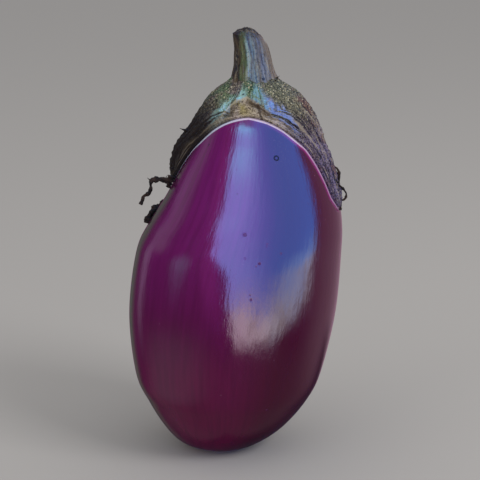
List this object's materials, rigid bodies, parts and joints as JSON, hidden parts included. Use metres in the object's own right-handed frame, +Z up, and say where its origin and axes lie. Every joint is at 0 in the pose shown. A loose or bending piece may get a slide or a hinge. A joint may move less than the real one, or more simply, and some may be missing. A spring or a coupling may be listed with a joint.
{
  "type": "eggplant",
  "caption": "Whole globe eggplant standing upright on its flat blossom end: glossy purple fruit, woody calyx with pointed sepals and dried ends, cut stem.",
  "frame": {"origin": "centre of the flat resting spot at the blossom end", "axes": "+Z up the fruit toward the stem, -Y is the front with the wide arch of the calyx, +X to the right of the front"},
  "size_m": [0.1068, 0.0989, 0.2044],
  "materials": {
    "skin": "smooth waxy purple skin, glossy, pale and pink where the calyx shaded it",
    "calyx": "woody green-brown with fibres, corky toward the margin",
    "stem": "fluted green-grey stalk, dried tan at the cut",
    "dried": "dark brittle dried sepal ends"
  },
  "bodies": {
    "root": {"fruit": "skin", "calyx": "calyx", "stem": "stem", "dry_tip_left": "dried", "dry_tip_right": "dried", "dry_tip_back_left": "dried", "dry_tip_back": "dried", "dry_tip_back_right": "dried"}
  },
  "joints": []
}
